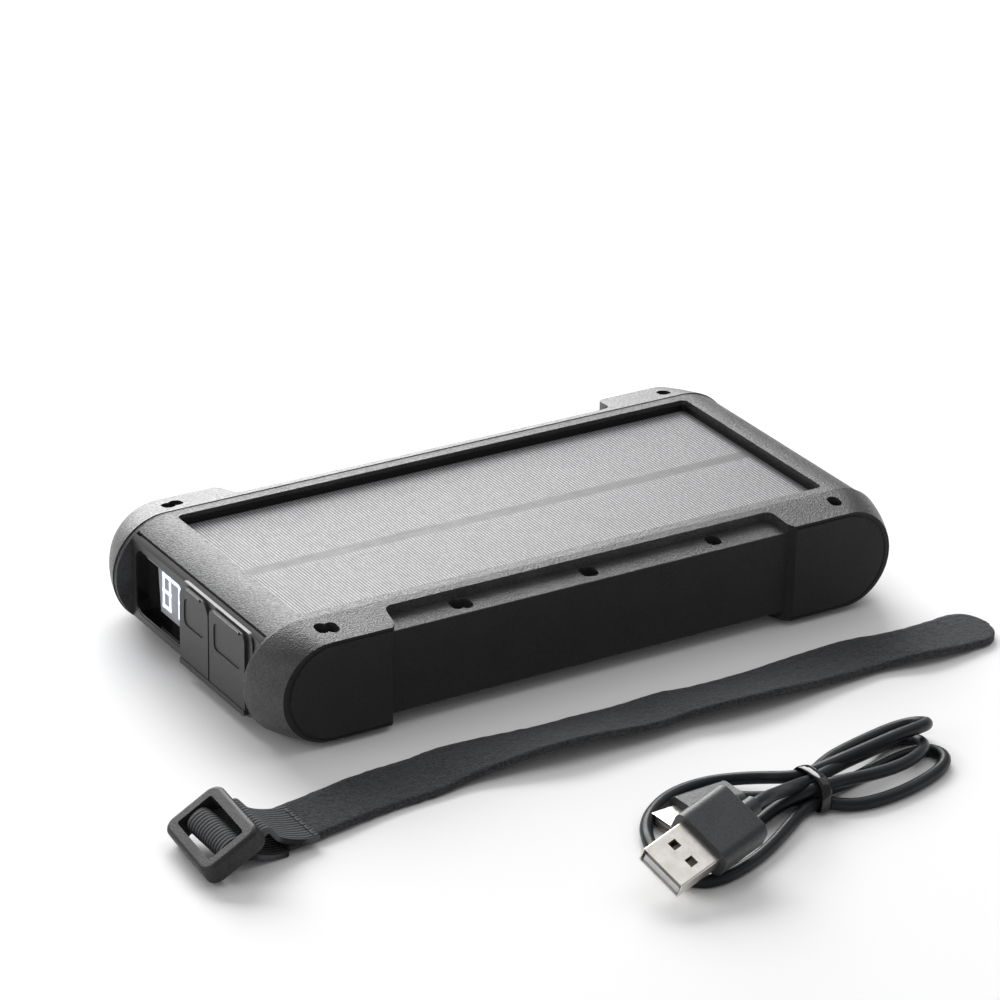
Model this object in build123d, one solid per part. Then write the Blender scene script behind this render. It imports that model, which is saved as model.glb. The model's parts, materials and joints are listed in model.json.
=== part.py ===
# Solar phone charger: a rugged power bank with a solar panel on top, two side rails, a port
# panel with a display and two rubber covers, a hook-and-loop strap and a short charging cable.
# Millimetres. +X runs along the charger away from its ports, +Y to its far side, +Z up.
# The origin is the middle of the charger's underside.
import os
from math import cos, radians, sin

from build123d import *

# ---------------------------------------------------------------- driving dimensions
BODY_H = 28.5            # height over the rails
BODY_MID = BODY_H / 2    # height of the parting plane of the rails
RAIL_HALF = 88.6         # half length of a rail where it meets the core
SEAM_Y = 33.5            # where the rails meet the core
RAIL_EDGE_Y = 43.8       # outer rim of a rail
RAIL_FACE_Y = 44.1       # flat outer face of a rail

CORE_R = 14.17           # the core's ends are full rounds of this radius
CORE_HALF = 88.3
CORE_MID = CORE_R
CORE_Y = SEAM_Y - 0.1    # half width of the core, with a hairline to each rail
WALL = 2.1
SPLIT_Z = 14.2           # parting plane of the two shells

WINDOW_X = 72.8          # half length and half width of the opening over the solar panel
WINDOW_Y = 30.55
PANEL_TOP = 25.6         # top of the solar panel
PANEL_SEAT = 23.9        # ledge that it lies on

PORT_BACK_X = -82.1      # back of the port panel
PORT_FACE_X = -83.9      # flat front of the port panel
PAD_X = -84.3            # raised pad that the rubber covers close on
COVER_X = -85.1          # front of the rubber covers
PORT_HALF_Y = 32.0
COVER_HINGE_Z = 5.0

BOARD_Z = 9.6
BOARD_T = 1.6

CABLE_D = 3.0
STRAP_W = 16.0
STRAP_T = 1.6

os.makedirs("parts", exist_ok=True)


def save(name, shape):
    """One STEP file for each sub-part."""
    shape.label = name
    export_step(shape, f"parts/{name}.step")


def block(x0, x1, y0, y1, z0, z1):
    """A box from its lowest and highest corners."""
    size = (x1 - x0, y1 - y0, z1 - z0)
    return Pos((x0 + x1) / 2, (y0 + y1) / 2, (z0 + z1) / 2) * Box(*size)


def end_plane(x):
    """A plane facing +X at x, drawn on with (y, z)."""
    return Plane(origin=(x, 0, 0), x_dir=(0, 1, 0), z_dir=(1, 0, 0))


def side_plane(y, z=0.0):
    """A plane facing -Y at y, drawn on with (x, z)."""
    return Plane(origin=(0, y, z), x_dir=(1, 0, 0), z_dir=(0, -1, 0))


def end_tile(x0, x1, y0, y1, z0, z1, corner):
    """A plate between x0 and x1 whose outline, seen along X, has round corners."""
    outline = Pos((y0 + y1) / 2, (z0 + z1) / 2) * RectangleRounded(y1 - y0, z1 - z0, corner)
    return extrude(end_plane(x0) * outline, amount=x1 - x0)


def flat_tile(x0, x1, y0, y1, z0, z1, corner):
    """A plate between z0 and z1 whose outline, seen from above, has round corners."""
    outline = Pos((x0 + x1) / 2, (y0 + y1) / 2) * RectangleRounded(x1 - x0, y1 - y0, corner)
    return extrude(Plane.XY.offset(z0) * outline, amount=z1 - z0)


def peg(x, y, z0, z1, radius):
    """An upright cylinder."""
    return Pos(x, y, (z0 + z1) / 2) * Cylinder(radius, z1 - z0)


def stadium_bar(half_length, radius, mid_z, half_width):
    """A bar along X with full-round ends, as wide as 2 half_width."""
    outline = SlotOverall(2 * half_length, 2 * radius)
    return extrude(side_plane(half_width, mid_z) * outline, amount=2 * half_width)


def together(solids):
    """Separate solids in one node."""
    return Compound(children=list(solids))


# ---------------------------------------------------------------- side rails
HOLE_PITCH = 35.6
HOLE_Y = -37.8
HOLE_R = 1.6
HOLE_SHIFTS = (2.4, 2.2, 1.1, 0.5, 0.0)   # how far each hole's second lobe lies along X
FLANGE_Y = 41.0                            # the flange that a rail is screwed to
FLANGE_HALF = 78.0
FLANGE_T = 3.0
SCREW_SEAT_Z = 17.4
LEDGE_WALL_Y = 35.7                        # wall between a rail's crown and its lower middle
LEDGE_HALF = 54.0
LEDGE_DROP_IN = 11.45                      # half height of the lower middle, inside and outside
LEDGE_DROP_OUT = 10.55
LEDGE_FACE_Y = 42.3


def rail_screw_places():
    return [(HOLE_PITCH * (i - 2), HOLE_Y) for i in range(5)]


def rail_crown():
    """The rail's outer form: full-round ends that draw in towards the outer face."""
    # distance from the middle, half length and half height of each section
    sections = ((SEAM_Y, RAIL_HALF, 14.25), (37.0, 87.5, 13.7), (40.6, 86.0, 13.12),
                (RAIL_EDGE_Y, 84.3, 12.6))
    faces = [side_plane(-y, BODY_MID) * SlotOverall(2 * a, 2 * h) for y, a, h in sections]
    crown = loft(faces)
    face_plate = side_plane(-RAIL_EDGE_Y + 0.5, BODY_MID) * SlotOverall(2 * 82.3, 2 * 11.66)
    groove = side_plane(-RAIL_EDGE_Y + 0.15, BODY_MID) * (SlotOverall(2 * 83.1, 2 * 12.2)
                                                         - SlotOverall(2 * 82.3, 2 * 11.66))
    return crown + extrude(face_plate, amount=RAIL_FACE_Y - RAIL_EDGE_Y + 0.5) - extrude(groove, amount=2)


def rail_middle():
    """What is left to remove so that the rail's middle is lower and narrower than its ends."""
    plan = Polyline((-57.6, -46), (-54.6, -LEDGE_FACE_Y), (-LEDGE_HALF, -38), (-LEDGE_HALF, -LEDGE_WALL_Y),
                    (LEDGE_HALF, -LEDGE_WALL_Y), (LEDGE_HALF, -38), (54.6, -LEDGE_FACE_Y), (57.6, -46),
                    close=True)
    cut = extrude(make_face(plan), amount=BODY_H + 2, both=False)
    inner = [e for e in cut.edges().filter_by(Axis.Z) if abs(e.center().Y + LEDGE_WALL_Y) < 0.1]
    cut = fillet(inner, 2.2)
    top_in, top_out = BODY_MID + LEDGE_DROP_IN, BODY_MID + LEDGE_DROP_OUT
    low_in, low_out = BODY_MID - LEDGE_DROP_IN, BODY_MID - LEDGE_DROP_OUT
    section = Polyline((-30, low_in), (-LEDGE_WALL_Y, low_in), (-LEDGE_FACE_Y, low_out),
                       (-LEDGE_FACE_Y, top_out), (-LEDGE_WALL_Y, top_in), (-30, top_in), close=True)
    bar = extrude(Plane.YZ * make_face(section), amount=70, both=True)
    outer = [e for e in bar.edges().filter_by(Axis.X) if e.center().Y < -LEDGE_FACE_Y + 0.1]
    bar = fillet(outer, 0.5)
    return cut - bar


def near_rail():
    rail = rail_crown() - rail_middle()
    # slot that takes the lower shell's flange
    rail -= block(-FLANGE_HALF - 0.1, FLANGE_HALF + 0.1, -FLANGE_Y - 0.1, -SEAM_Y + 1,
                  SPLIT_Z - FLANGE_T - 0.1, SPLIT_Z + 0.1)
    for (x, y), shift in zip(rail_screw_places(), HOLE_SHIFTS):
        for across in (-0.6, 0.3):
            rail -= peg(x, y + across, SCREW_SEAT_Z, 40, HOLE_R)
            rail -= peg(x + shift, y + across - shift / 4, BODY_H - 9, 40, HOLE_R)
        rail -= peg(x, y, 8.0, SCREW_SEAT_Z + 1, 1.0)
    return rail


def rail_screws():
    """Five pan-head screws in each rail, at the bottom of its wells."""
    screws = []
    for x, y in rail_screw_places():
        for side in (1, -1):
            head = peg(x * side, y * side, SCREW_SEAT_Z, SCREW_SEAT_Z + 1.3, 1.45)
            shank = peg(x * side, y * side, 8.6, SCREW_SEAT_Z + 0.2, 0.9)
            drive = peg(x * side, y * side, SCREW_SEAT_Z + 0.6, SCREW_SEAT_Z + 2, 0.6)
            screws.append(head + shank - drive)
    return together(screws)


# ---------------------------------------------------------------- core shells
BOSS_Y = 28.6
BOSS_X = (-64.0, 0.0, 64.0)
BOSS_R = 2.5
POST_X = (-72.0, -50.0)
POST_Y = 22.0
BUTTON_W = 12.0
BUTTON_H = 6.0
ROOF_Z = 21.9            # underside of the upper shell's top


def core_form():
    """The outside of the two shells together, with the port end cut square for its panel."""
    core = stadium_bar(CORE_HALF, CORE_R, CORE_MID, CORE_Y)
    return core - block(-100, PORT_BACK_X, -PORT_HALF_Y - 0.1, PORT_HALF_Y + 0.1, -1, 40)


def core_room():
    """The room inside the shells, open towards the port panel."""
    half_y = CORE_Y - WALL
    room = stadium_bar(CORE_HALF - WALL, CORE_R - WALL, CORE_MID, half_y)
    room -= block(-100, 100, -50, 50, ROOF_Z, 40)
    room += block(-100, -70, -half_y, half_y, 5.2, ROOF_Z)
    return room + block(-100, -79.5, 4.0, half_y, 5.2, 23.4)


def boss_places():
    return [(x, y) for x in BOSS_X for y in (-BOSS_Y, BOSS_Y)]


def button_opening():
    return end_slot(80, 100, 0, CORE_MID, BUTTON_W + 0.2, BUTTON_H + 0.2, 2.9)


def end_slot(x0, x1, y, z, width, height, corner):
    """A plate between x0 and x1, centred on (y, z), with round corners."""
    return end_tile(x0, x1, y - width / 2, y + width / 2, z - height / 2, z + height / 2, corner)


def upper_shell():
    shell = core_form() - core_room() - block(-100, 100, -50, 50, -1, SPLIT_Z)
    shell -= flat_tile(-WINDOW_X, WINDOW_X, -WINDOW_Y, WINDOW_Y, PANEL_SEAT, 40, 1.5)
    shell -= flat_tile(-70.5, 70.5, -28.3, 28.3, 20, 30, 2.0)
    for x, y in boss_places():
        shell += peg(x, y, SPLIT_Z + 0.05, ROOF_Z + 0.3, BOSS_R)
        shell -= peg(x, y, SPLIT_Z - 1, 20.5, 0.95)
    return shell - button_opening()


def lower_shell():
    shell = core_form() - core_room() - block(-100, 100, -50, 50, SPLIT_Z, 40)
    flange = block(-FLANGE_HALF, FLANGE_HALF, CORE_Y - 0.6, FLANGE_Y, SPLIT_Z - FLANGE_T, SPLIT_Z)
    shell += flange + mirror(flange, Plane.XZ)
    for x, y in rail_screw_places():
        shell -= peg(x, y, 8, 20, 0.95) + peg(x, -y, 8, 20, 0.95)
    for x, y in boss_places():
        shell += peg(x, y, 1.0, SPLIT_Z - 0.05, BOSS_R)
        shell -= peg(x, y, -1, 2.6, 2.2) + peg(x, y, 2, 20, 1.1)
    for x in POST_X:
        for y in (-POST_Y, POST_Y):
            shell += peg(x, y, 1.5, BOARD_Z - 0.02, 1.8)
    return shell - button_opening()


def shell_screws():
    """Six screws from below that close the shells."""
    screws = []
    for x, y in boss_places():
        head = peg(x, y, 1.0, 2.58, 2.1)
        shank = peg(x, y, 2.4, 19.0, 0.9)
        screws.append(head + shank - peg(x, y, 0, 1.8, 0.8))
    return together(screws)


# ---------------------------------------------------------------- solar panel
MARGIN = 2.0
CELL_LOW, CELL_HIGH = PANEL_TOP - 0.8, PANEL_TOP - 0.55


def solar_board():
    return flat_tile(-WINDOW_X + 0.1, WINDOW_X - 0.1, -WINDOW_Y + 0.1, WINDOW_Y - 0.1,
                     PANEL_SEAT, CELL_LOW, 1.4)


def cell_row():
    return block(-WINDOW_X + MARGIN, WINDOW_X - MARGIN, 0.5, WINDOW_Y - MARGIN, CELL_LOW, CELL_HIGH)


def solar_cells():
    """Two rows of cells along the panel, with a narrow gap between the rows."""
    return together([cell_row(), mirror(cell_row(), Plane.XZ)])


def solar_cover():
    """Clear laminate over the cells: it fills round them down to the board."""
    cover = flat_tile(-WINDOW_X + 0.1, WINDOW_X - 0.1, -WINDOW_Y + 0.1, WINDOW_Y - 0.1,
                      CELL_LOW, PANEL_TOP, 1.4)
    return cover - cell_row() - mirror(cell_row(), Plane.XZ)


def solar_gasket():
    """Rubber ring that stands on the panel's edge inside the opening."""
    outer = flat_tile(-WINDOW_X + 0.05, WINDOW_X - 0.05, -WINDOW_Y + 0.05, WINDOW_Y - 0.05,
                      PANEL_TOP, 27.1, 1.45)
    inner = flat_tile(-WINDOW_X + 0.5, WINDOW_X - 0.5, -WINDOW_Y + 0.5, WINDOW_Y - 0.5, 20, 30, 1.0)
    return outer - inner


# ---------------------------------------------------------------- port panel and display
DISPLAY = (6.6, 29.8, 6.3, 22.2)          # lowest and highest y, lowest and highest z
DISPLAY_X = -80.9                          # front of the display's window
USB_C_Y, USB_C_Z = -1.7, 13.0
USB_A_Y, USB_A_Z = -18.0, 14.6


def port_panel():
    """A plate with a groove round it, a raised pad for the covers and three openings."""
    front = stadium_bar(CORE_HALF, CORE_R, CORE_MID, PORT_HALF_Y) & block(PORT_FACE_X, -82.8, -50, 50, -1, 40)
    back = stadium_bar(CORE_HALF - 0.7, CORE_R - 0.7, CORE_MID, PORT_HALF_Y - 0.6)
    panel = front + (back & block(-83.2, PORT_BACK_X, -50, 50, -1, 40))
    panel += end_tile(PAD_X, PORT_BACK_X - 0.6, -29.2, 6.2, 3.4, 24.9, 2.4)
    y0, y1, z0, z1 = DISPLAY
    panel -= end_tile(-90, -80, y0 - 0.6, y1 + 0.6, z0 - 0.6, z1 + 0.6, 3.2)
    panel -= end_slot(-90, -80, USB_C_Y, USB_C_Z, 10.4, 4.6, 2.2)
    return panel - end_slot(-90, -80, USB_A_Y, USB_A_Z, 15.0, 7.6, 1.0)


def display_bezel():
    """Glossy lining of the display's recess."""
    y0, y1, z0, z1 = DISPLAY
    lining = end_tile(PORT_FACE_X + 0.1, DISPLAY_X + 0.8, y0 - 0.5, y1 + 0.5, z0 - 0.5, z1 + 0.5, 3.1)
    return lining - end_tile(-90, -70, y0, y1, z0, z1, 2.6)


def display_window():
    y0, y1, z0, z1 = DISPLAY
    return end_tile(DISPLAY_X, DISPLAY_X + 0.8, y0 + 0.02, y1 - 0.02, z0 + 0.02, z1 - 0.02, 2.58)


def display_module():
    return block(DISPLAY_X + 0.82, -76.5, 7.0, 27.0, 8.0, 21.0)


# ---------------------------------------------------------------- rubber covers and sockets
COVER_SPANS = {"usb_c_cover": (-8.8, 5.4, 3.6), "output_cover": (-26.8, -9.4, 2.2)}
COVER_TOP = 24.2


def port_cover(name):
    """A rubber cover: a plate with a sunk window, a plug behind it and a lip to lift it by."""
    y0, y1, corner = COVER_SPANS[name]
    plate = end_tile(COVER_X, PAD_X, y0, y1, COVER_HINGE_Z - 3, COVER_TOP, corner)
    plate -= block(-90, -80, -50, 50, 0, COVER_HINGE_Z)
    plate -= end_tile(-90, COVER_X + 0.3, y0 + 2.0, y1 - 2.2, 14.4, 21.4, 1.6)
    plate += end_tile(COVER_X - 0.35, COVER_X + 0.1, y0 + corner, y1 - corner, COVER_TOP - 0.8,
                      COVER_TOP - 0.1, 0.3)
    if name == "usb_c_cover":
        plug = end_slot(PAD_X - 0.1, -83.1, USB_C_Y, USB_C_Z, 9.4, 3.6, 1.7)
    else:
        plug = end_slot(PAD_X - 0.1, -83.1, USB_A_Y, USB_A_Z, 14.0, 6.6, 0.8)
    return plate + plug


def cover_strip():
    """The rubber strip that both covers fold from."""
    return end_tile(COVER_X - 0.2, PAD_X, -26.8, 5.4, 3.5, COVER_HINGE_Z - 0.05, 0.5)


def usb_c_port():
    x0, x1 = -82.9, -75.6
    port = end_slot(x0, x1, USB_C_Y, USB_C_Z, 8.94, 3.26, 1.6)
    port -= end_slot(x0 - 1, x1 - 0.8, USB_C_Y, USB_C_Z, 8.34, 2.66, 1.3)
    port += end_slot(x0 + 0.8, x1, USB_C_Y, USB_C_Z, 6.7, 0.7, 0.3)
    return port + block(-81.0, x1, USB_C_Y - 4.0, USB_C_Y + 4.0, BOARD_Z + BOARD_T, USB_C_Z - 1.5)


def usb_a_port():
    x0, x1 = -82.9, -69.0
    port = end_slot(x0, x1, USB_A_Y, USB_A_Z, 13.2, 5.8, 0.4)
    port -= end_slot(x0 - 1, x1 - 0.8, USB_A_Y, USB_A_Z, 12.5, 5.1, 0.3)
    port += end_slot(x0 + 1.0, x1, USB_A_Y, USB_A_Z + 0.9, 11.1, 1.8, 0.2)
    return port + block(-81.0, x1, USB_A_Y - 6.0, USB_A_Y + 6.0, BOARD_Z + BOARD_T, USB_A_Z - 2.7)


# ---------------------------------------------------------------- electronics and cells
PACK_X0, PACK_X1 = -42.0, 73.0
PACK_HALF_Y = 25.4
PACK_T = 9.0
PACK_Z0 = 2.45
FOAM_T = 1.0
BOARD_TOP = BOARD_Z + BOARD_T


def main_board():
    board = block(-81.4, -46.0, -25.6, 25.6, BOARD_Z, BOARD_TOP)
    return board - block(-82, -76.0, 5.2, 30, 5, 20)


def controller_chips():
    return together([block(-66, -59, -4, 3, BOARD_TOP, BOARD_TOP + 1.2),
                     block(-66, -60, 10, 16, BOARD_TOP, BOARD_TOP + 1.2)])


def power_inductor():
    return flat_tile(-60, -50, -20, -10, BOARD_TOP, BOARD_TOP + 5.0, 1.5)


def filter_capacitors():
    return together([peg(-54, y, BOARD_TOP, BOARD_TOP + 7.5, 3.15) for y in (2, 10)])


def pouch_cell(z0):
    """A flat pouch cell with soft edges."""
    cell = block(PACK_X0, PACK_X1, -PACK_HALF_Y, PACK_HALF_Y, z0, z0 + PACK_T)
    return fillet(cell.edges().filter_by(Axis.X), 2.0)


def battery_cells():
    return together([pouch_cell(PACK_Z0), pouch_cell(PACK_Z0 + PACK_T + FOAM_T)])


def cell_foam():
    z = PACK_Z0 + PACK_T
    return together([block(x, x + 30, -20, 20, z, z + FOAM_T) for x in (-36.0, 0.0, 36.0)])


def cell_tabs():
    """Nickel tabs from the cells' end to the board."""
    return together([block(-49.0, PACK_X0, y - 2.5, y + 2.5, BOARD_TOP, BOARD_TOP + 0.2)
                     for y in (-6.0, 4.0, 18.0)])


# ---------------------------------------------------------------- power button, at the end without ports
def power_button():
    stem = end_slot(84.6, 88.5, 0, CORE_MID, BUTTON_W, BUTTON_H, 2.8)
    stem = fillet(stem.faces().sort_by(Axis.X)[-1].edges(), 0.6)
    return stem + end_slot(84.6, 85.1, 0, CORE_MID, BUTTON_W + 2.0, BUTTON_H + 1.6, 3.0)


def switch_board():
    return block(78.6, 80.2, -9, 9, 4.6, 21.0)


def power_switch():
    stem = Pos(83.2, 0, CORE_MID) * Rot(0, 90, 0) * Cylinder(1.6, 1.4)
    return block(80.2, 82.8, -3, 3, CORE_MID - 3, CORE_MID + 3) + stem


# ---------------------------------------------------------------- strap
BUCKLE_MID = (-119.1, -77.0, 6.45)
BUCKLE_LEAN = 32.0
BUCKLE_YAW = -5.0
BUCKLE_W, BUCKLE_L, BUCKLE_T = 24.0, 15.6, 4.9
BUCKLE_BAR = 3.0
WEB_W, WEB_T = 16.0, 1.1
BAND_X0, BAND_X1 = -104.0, 89.0
SEWN_X = -96.5
BAND_ROUTE = [(BAND_X0, -74.5), (-90.0, -72.0), (-62.0, -68.8), (-30.0, -67.4), (0.0, -68.0),
              (30.0, -68.4), (61.0, -67.3), (BAND_X1, -68.5)]


def strap_buckle():
    """Slide buckle: a rectangular ring with a bar across it, leaning on the webbing's fold."""
    ring = extrude(RectangleRounded(BUCKLE_L, BUCKLE_W, 3.2), amount=BUCKLE_T / 2, both=True)
    ring = fillet(ring.faces().sort_by(Axis.Z)[-1].edges(), 1.1)
    ring = fillet(ring.faces().sort_by(Axis.Z)[0].edges(), 0.8)
    window = RectangleRounded(BUCKLE_L - 2 * BUCKLE_BAR, BUCKLE_W - 2 * BUCKLE_BAR, 0.8)
    ring -= extrude(window, amount=5, both=True)
    ring += Pos(0, 0, -0.4) * Box(2.2, BUCKLE_W - 5.0, 2.0)
    return Pos(*BUCKLE_MID) * Rot(0, 0, BUCKLE_YAW) * Rot(0, -BUCKLE_LEAN, 0) * ring


def buckle_point(along, above):
    """Where a point of the buckle's own section lies, as (x, z)."""
    c, s = cos(radians(BUCKLE_LEAN)), sin(radians(BUCKLE_LEAN))
    return (BUCKLE_MID[0] + along * c - above * s, BUCKLE_MID[2] + along * s + above * c)


def ribbon(points, thickness):
    """The section of a tape whose middle follows the points."""
    over, under = [], []
    for i, (x, z) in enumerate(points):
        x0, z0 = points[max(i - 1, 0)]
        x1, z1 = points[min(i + 1, len(points) - 1)]
        length = ((x1 - x0) ** 2 + (z1 - z0) ** 2) ** 0.5
        nx, nz = -(z1 - z0) / length, (x1 - x0) / length
        over.append((x + nx * thickness / 2, z + nz * thickness / 2))
        under.append((x - nx * thickness / 2, z - nz * thickness / 2))
    return make_face(Polyline(*over, *reversed(under), close=True))


def webbing_loop():
    """Woven tape sewn to the band, led over the buckle's bar and back under it to the floor."""
    path = [(SEWN_X, STRAP_T + 0.6), (-102.0, STRAP_T + 0.7), (-106.5, 4.6), buckle_point(8.8, -3.9),
            buckle_point(4.3, -3.1), buckle_point(2.6, 0.4), buckle_point(1.2, 1.5), buckle_point(-1.2, 1.5),
            buckle_point(-2.6, 0.4), buckle_point(-2.6, -1.3), buckle_point(-1.1, -2.7),
            (-114.0, 2.9), (-109.0, 1.2), (-104.9, 0.65)]
    section = ribbon(path, WEB_T)
    return extrude(side_plane(BUCKLE_MID[1] - WEB_W / 2) * section, amount=-WEB_W)


def hook_and_loop_band():
    """The fabric band, laid out on the floor, with a round tip."""
    line = Spline(*BAND_ROUTE)
    left, right = [], []
    steps = 20
    for i in range(steps + 1):
        p, d = line @ (i / steps), line % (i / steps)
        left.append((p.X - d.Y * STRAP_W / 2, p.Y + d.X * STRAP_W / 2))
        right.append((p.X + d.Y * STRAP_W / 2, p.Y - d.X * STRAP_W / 2))
    end, away = line @ 1, line % 1
    tip = (end.X + away.X * STRAP_W / 2, end.Y + away.Y * STRAP_W / 2)
    outline = [Spline(*left), ThreePointArc(left[-1], tip, right[-1]), Spline(*right),
               Line(right[0], left[0])]
    return extrude(make_face(outline), amount=STRAP_T)


def strap_stitches():
    """Two rows of stitches that hold the webbing to the band."""
    z = STRAP_T + 0.6 + WEB_T / 2
    stitches = []
    for x in (-97.6, -100.6):
        for i in range(6):
            y = -81.6 + 2.2 * i
            stitches.append(block(x - 0.2, x + 0.2, y, y + 1.4, z + 0.12, z + 0.35))
    return together(stitches)


# ---------------------------------------------------------------- charging cable
PLUG_A_TIP = (-44.36, -139.2, 6.9)        # middle of the plug's open end
PLUG_A_OUT = (-0.955, -0.235, -0.180)     # the way it points
PLUG_A_UP = (0.03, -0.47, 0.88)
PLUG_A_SHELL = 12.0                        # bare length
PLUG_A_BODY = 14.0
PLUG_A_TAIL = 4.0
PLUG_C_TIP = (-27.5, -113.5, 1.85)
PLUG_C_OUT = (-0.99, -0.06, 0.0)
PLUG_C_SHELL = 6.5
PLUG_C_BODY = 14.0


def plug_place(tip, out, up):
    """Plugs are drawn pointing along +X from the origin backwards, with their top towards +Z."""
    return Plane(origin=tip, x_dir=out, z_dir=Vector(*up) - Vector(*out) * Vector(*out).dot(Vector(*up)))


def place_a(shape):
    return plug_place(PLUG_A_TIP, PLUG_A_OUT, PLUG_A_UP).location * shape


def place_c(shape):
    return plug_place(PLUG_C_TIP, PLUG_C_OUT, (0, 0, 1)).location * shape


def usb_a_shell():
    shell = end_slot(-PLUG_A_SHELL - 3.0, 0, 0, 0, 12.0, 4.5, 0.5)
    shell -= end_slot(-PLUG_A_SHELL - 2.4, 1, 0, 0, 11.4, 3.9, 0.3)
    for y in (-2.6, 2.6):
        shell -= block(-7.3, -5.1, y - 1.1, y + 1.1, 1, 3)
    return place_a(shell)


def usb_a_tongue():
    return place_a(block(-PLUG_A_SHELL - 2.35, -0.6, -5.3, 5.3, -1.9, 0.0))


def usb_a_contacts():
    strips = [block(-9.0, -1.4, y - 0.5, y + 0.5, 0.02, 0.18) for y in (-3.5, -1.0, 1.0, 3.5)]
    return together([place_a(strip) for strip in strips])


def usb_a_overmold():
    start = -PLUG_A_SHELL
    body = end_slot(start - PLUG_A_BODY, start, 0, 0, 15.6, 8.0, 2.6)
    body = fillet(body.faces().sort_by(Axis.X)[0].edges(), 0.8)
    tail = Pos(start - PLUG_A_BODY - PLUG_A_TAIL / 2, 0, 0) * Rot(0, 90, 0) * Cylinder(2.25, PLUG_A_TAIL)
    pocket = end_slot(start - 3.05, 0, 0, 0, 12.05, 4.55, 0.5)
    return place_a(body + tail - pocket)


def usb_c_shell():
    shell = end_slot(-PLUG_C_SHELL - 2.0, 0, 0, 0, 8.3, 2.4, 1.15)
    return place_c(shell - end_slot(-PLUG_C_SHELL - 1.4, 1, 0, 0, 7.7, 1.8, 0.85))


def usb_c_insert():
    insert = end_slot(-PLUG_C_SHELL - 1.35, -1.0, 0, 0, 7.6, 1.7, 0.8)
    return place_c(insert - end_slot(-PLUG_C_SHELL, 1, 0, 0, 6.8, 0.8, 0.3))


def usb_c_overmold():
    start = -PLUG_C_SHELL
    body = end_slot(start - PLUG_C_BODY, start, 0, 0.75, 10.6, 5.0, 2.3)
    pocket = end_slot(start - 2.05, 0, 0, 0, 8.35, 2.45, 1.15)
    return place_c(body - pocket)


def floor_shape(points, height, z=0.0):
    """An upright slab with a smooth outline."""
    return extrude(Plane.XY.offset(z) * make_face(Spline(*points, periodic=True)), amount=height)


RIGHT_LOBE = [(11, -112.6), (20, -112.2), (31, -109.8), (40, -107.6), (47.0, -108.6), (48.6, -116.0),
              (45.4, -123.6), (38.6, -127.8), (29.5, -131.2), (20.5, -131.8), (11, -127.2)]
LEFT_LOBE = [(7, -112.4), (-3, -102.6), (-10, -101.2), (-19, -103.0), (-27.5, -107.4), (-33.4, -112.8),
             (-36.4, -119.0), (-38.2, -128.0), (-38.0, -137.5), (-34.5, -142.6), (-28.6, -142.9),
             (-20.8, -140.0), (-11.6, -134.8), (-3.6, -130.1), (7, -125.6)]
LEFT_ROOM = [(-1, -111.5), (-5.5, -107.0), (-10, -106.4), (-17, -107.8), (-24, -111.0), (-28.6, -115.8),
             (-30.6, -121.0), (-32.6, -129.0), (-32.4, -136.6), (-28.8, -137.6), (-22.6, -135.2),
             (-13.4, -129.8), (-6.0, -125.6), (-2, -121.0)]
NECK = (4.0, 16.0, -125.4, -113.6, 0.6, 6.4)     # the strands that the tie holds together
TIE_X0, TIE_X1 = 7.6, 10.4
TIE_T = 0.6


def cable_bundle():
    """The hank of cable as one solid: a lobe each side of the tie."""
    lobes = floor_shape(RIGHT_LOBE, 6.0) + (floor_shape(LEFT_LOBE, 3.2) - floor_shape(LEFT_ROOM, 10, -1))
    lobes -= block(TIE_X0 - 0.1, TIE_X1 + 0.1, -140, -100, -1, 10)
    lobes -= place_c(block(-PLUG_C_SHELL - PLUG_C_BODY - 0.3, 2, -5.7, 5.7, -4, 6))
    return lobes + block(*NECK) - usb_a_lead()


def cable_tie():
    x0, x1, y0, y1, z0, z1 = NECK
    band = block(TIE_X0, TIE_X1, y0 - TIE_T, y1 + TIE_T, z0 - TIE_T, z1 + TIE_T)
    band = fillet(band.edges().filter_by(Axis.X), 1.5)
    return band - block(*NECK)


def lead(route, bends):
    """A round cable along straight runs joined by arcs."""
    path = FilletPolyline(*route, radius=bends)
    start = Plane(origin=path @ 0, z_dir=path % 0)
    return sweep(start * Circle(CABLE_D / 2), path=path)


def usb_a_lead():
    tail = place_a(Vertex(-PLUG_A_SHELL - PLUG_A_BODY - PLUG_A_TAIL, 0, 0)).center()
    out = Vector(*PLUG_A_OUT)
    return lead([tail, tail - out * 8.0, (NECK[0], -119.5, 4.9)], 11.0)


def usb_c_lead():
    tail = place_c(Vertex(-PLUG_C_SHELL - PLUG_C_BODY, 0, 0.75)).center()
    out = Vector(*PLUG_C_OUT)
    return lead([tail, tail - out * 2.4, (-1.6, -114.4, 2.6)], 6.0)


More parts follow.
